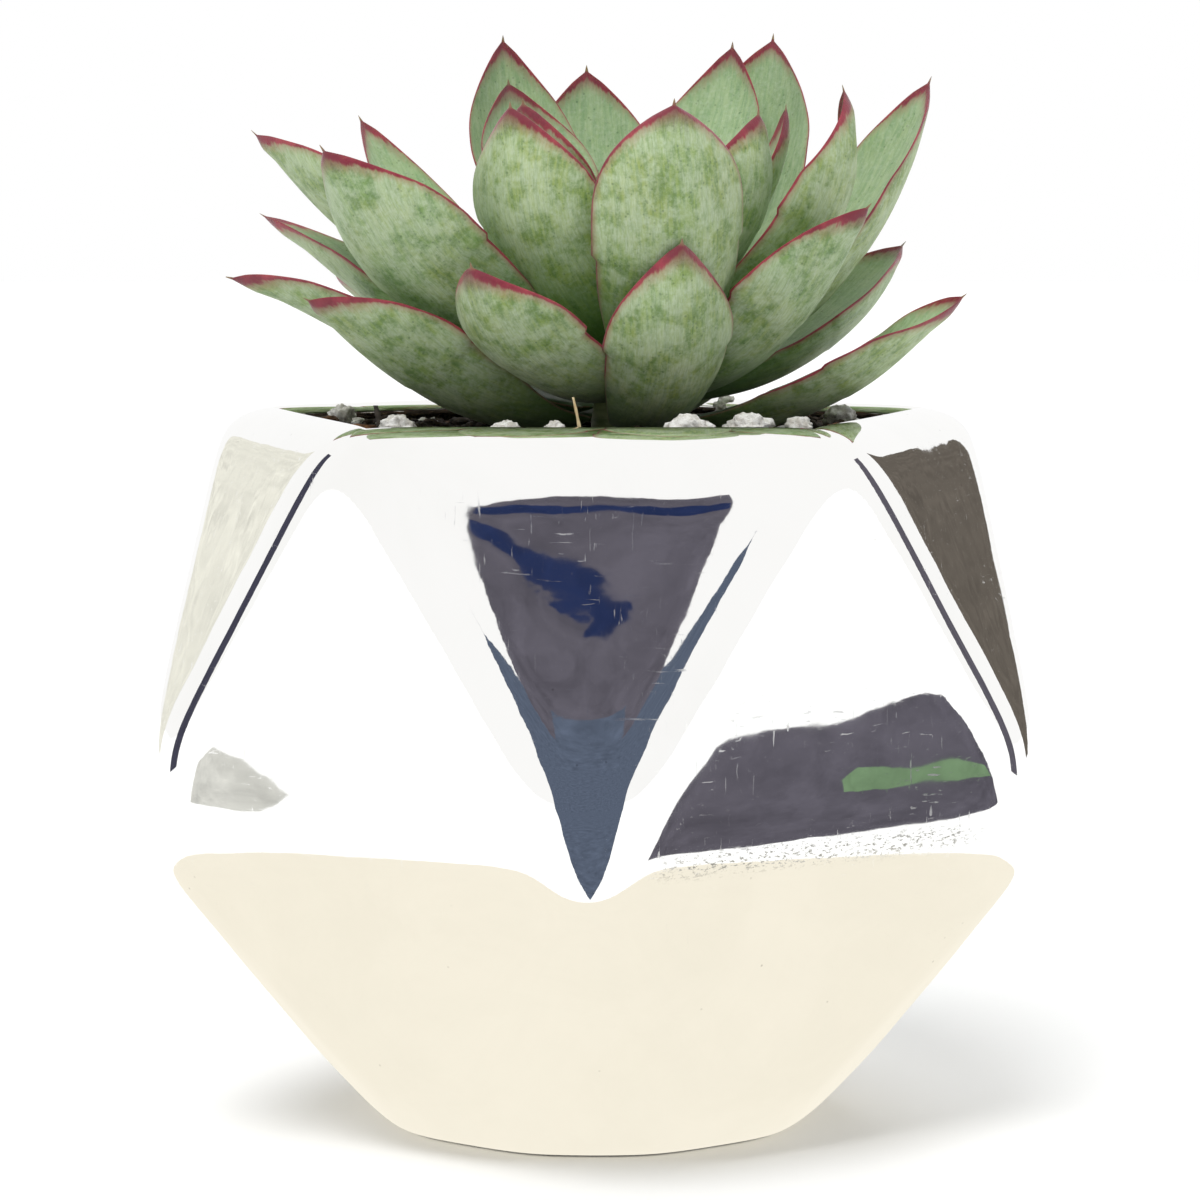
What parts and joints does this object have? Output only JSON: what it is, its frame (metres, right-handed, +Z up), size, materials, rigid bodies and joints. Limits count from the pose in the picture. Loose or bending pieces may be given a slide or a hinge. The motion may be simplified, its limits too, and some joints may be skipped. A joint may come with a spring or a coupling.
{
  "type": "potted succulent",
  "caption": "Rosette succulent with fleshy pointed red-edged leaves on a short stem, planted in gritty soil in a mirror-plated faceted ceramic pot with a flat base.",
  "frame": {"origin": "centre of the pot's flat base, on the surface it stands on", "axes": "+Z up, -Y towards the front, where one upright side of the rim faces the viewer, +X to the viewer's right"},
  "size_m": [0.0887, 0.0863, 0.1103],
  "materials": {
    "plating": "slip-cast ceramic with bright silver mirror plating inside and out",
    "soil": "damp, crumbly, matte",
    "stem": "matte green plant tissue",
    "leaf": "grey-green plant tissue with a powdery bloom and crimson margins",
    "perlite": "matte white expanded mineral",
    "bark": "matte, fibrous",
    "twig": "dry, dark, matte",
    "straw": "dry, pale, slightly glossy"
  },
  "bodies": {
    "root": {"bark_back": "bark", "bark_front_left": "bark", "bark_left": "bark", "bark_left_back": "bark", "bark_right": "bark", "bark_right_back": "bark", "leaf_back": "leaf", "leaf_back_left": "leaf", "leaf_back_left_inner": "leaf", "leaf_back_left_tall": "leaf", "leaf_back_right": "leaf", "leaf_back_right_tall": "leaf", "leaf_front_broad": "leaf", "leaf_front_inner": "leaf", "leaf_front_left": "leaf", "leaf_front_left_short": "leaf", "leaf_front_short": "leaf", "leaf_front_tall": "leaf", "leaf_heart_1": "leaf", "leaf_heart_2": "leaf", "leaf_heart_3": "leaf", "leaf_heart_4": "leaf", "leaf_heart_5": "leaf", "leaf_heart_6": "leaf", "leaf_heart_7": "leaf", "leaf_hidden_back": "leaf", "leaf_hidden_back_mid": "leaf", "leaf_hidden_back_right": "leaf", "leaf_left": "leaf", "leaf_left_pointed": "leaf", "leaf_low_back_left": "leaf", "leaf_low_back_right": "leaf", "leaf_low_front_left": "leaf", "leaf_low_front_right": "leaf", "leaf_low_left": "leaf", "leaf_low_right": "leaf", "leaf_right_curled": "leaf", "leaf_right_inner": "leaf", "leaf_right_narrow": "leaf", "leaf_right_tall": "leaf", "perlite_back_left": "perlite", "perlite_back_right": "perlite", "perlite_by_straw": "perlite", "perlite_front": "perlite", "perlite_front_left": "perlite", "perlite_front_right": "perlite", "perlite_left": "perlite", "perlite_left_back": "perlite", "perlite_right": "perlite", "perlite_right_back": "perlite", "pot": "plating", "soil": "soil", "stem": "stem", "straw": "straw", "twig": "twig"}
  },
  "joints": []
}
